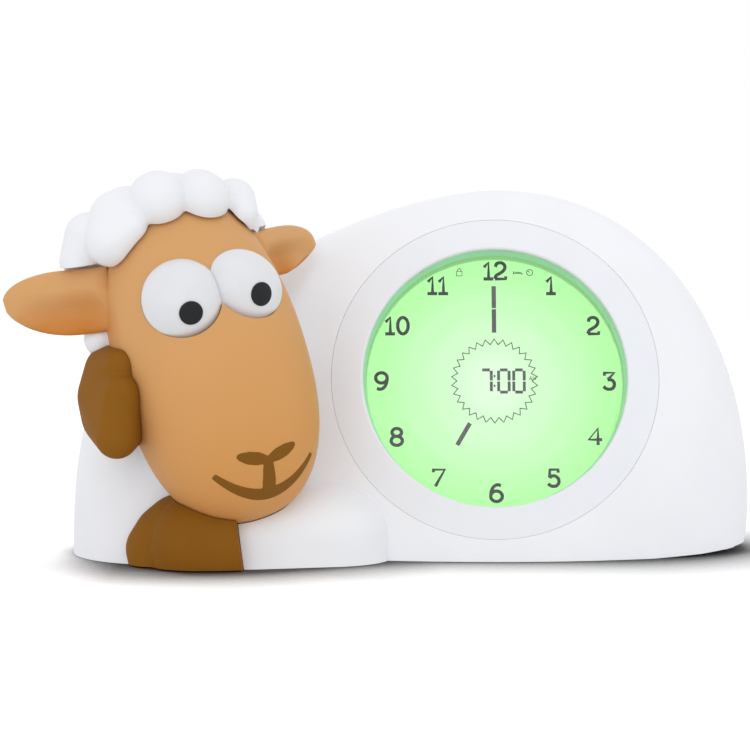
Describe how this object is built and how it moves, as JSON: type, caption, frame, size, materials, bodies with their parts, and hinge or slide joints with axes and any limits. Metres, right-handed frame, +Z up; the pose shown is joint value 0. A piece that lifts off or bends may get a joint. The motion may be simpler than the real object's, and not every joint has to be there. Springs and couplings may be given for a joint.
{
  "type": "alarm clock with night light",
  "caption": "Children's alarm clock: a white dome with a tilted round display inside a press ring, and a lamb with ears, eyes, hooves and a press-down wool cap.",
  "frame": {"origin": "on the table, under the middle of the overall box", "axes": "+Z up, the display and the face look along -Y, +X to the right of the display as seen from the front"},
  "size_m": [0.2542, 0.1208, 0.1329],
  "materials": {
    "shell": "satin white moulding",
    "ring": "satin white moulding",
    "bezel": "white moulding lit green by the display",
    "inner_plastic": "plain moulding",
    "wool": "soft white moulding",
    "skin": "tan satin moulding",
    "hoof": "brown satin moulding",
    "mark": "brown inlay",
    "eye_white": "gloss white",
    "pupil": "gloss black",
    "rubber": "moulded rubber",
    "steel": "plain",
    "lens": "clear",
    "lcd": "lit from behind",
    "ink": "dark display segments",
    "diffuser": "frosted",
    "reflector": "white",
    "led": "lamp",
    "board": "solder mask",
    "dark_plastic": "black moulding",
    "cone": "black cone",
    "magnet": "ferrite",
    "cell": "printed sleeve",
    "lead_red": "insulated wire",
    "lead_black": "insulated wire"
  },
  "bodies": {
    "case": {"front_shell": "shell", "rear_shell": "shell", "base_plate": "shell", "rubber_feet": "rubber", "base_screws": "steel", "case_screws": "steel", "dial_bezel": "bezel", "dial_carrier": "inner_plastic", "carrier_screws": "steel", "display_lens": "lens", "lcd_panel": "lcd", "lcd_segments": "ink", "diffuser": "diffuser", "reflector": "reflector", "led_board": "board", "leds": "led", "switch_board": "board", "switch_domes": "rubber", "main_board": "board", "board_posts": "inner_plastic", "board_screws": "steel", "chips": "dark_plastic", "speaker_frame": "steel", "speaker_cone": "cone", "speaker_magnet": "magnet", "battery_cells": "cell", "battery_contacts": "steel", "usb_socket": "steel", "switch_body": "dark_plastic", "face_shell": "skin", "head_back": "wool", "cap_guide": "inner_plastic", "cap_spring": "steel", "head_board": "board", "cap_switch": "dark_plastic", "ear_left": "skin", "ear_right": "skin", "eyes": "eye_white", "pupils": "pupil", "nose_and_mouth": "mark", "upper_hoof": "hoof", "lower_hoof": "hoof", "neck_tube": "inner_plastic", "neck_nut": "inner_plastic", "speaker_lead": "lead_red", "battery_lead": "lead_black", "head_lead": "lead_black"},
    "gimbal": {"gimbal_ring": "steel"},
    "ring": {"control_ring": "ring"},
    "cap": {"wool_cap": "wool", "cap_stem": "inner_plastic"},
    "knob": {"switch_knob": "dark_plastic"},
    "door": {"battery_door": "shell", "door_screw": "steel"}
  },
  "joints": [
    {"name": "ring_nod", "type": "hinge", "parent": "case", "child": "gimbal", "pos_m": [0.039, 0.00767, 0.05922], "axis": [1, 0, 0], "range_deg": [-0.91, 0.91], "stiffness_Nm_per_rad": 0.6},
    {"name": "ring_rock", "type": "hinge", "parent": "gimbal", "child": "ring", "pos_m": [0.039, 0.00767, 0.05922], "axis": [0, 0.2924, 0.9563], "range_deg": [-0.91, 0.91], "stiffness_Nm_per_rad": 0.6},
    {"name": "cap_press", "type": "slide", "parent": "case", "child": "cap", "axis": [0.2756, 0, -0.9613], "range_m": [0, 0.0008], "stiffness_N_per_m": 1200, "springref_m": -0.0008, "deforming": ["cap_spring"]},
    {"name": "power_switch", "type": "slide", "parent": "case", "child": "knob", "axis": [1, 0, 0], "range_m": [0, 0.004]},
    {"name": "battery_cover", "type": "slide", "parent": "case", "child": "door", "axis": [-0.1288, 0.9917, 0], "range_m": [0, 0.016]}
  ]
}
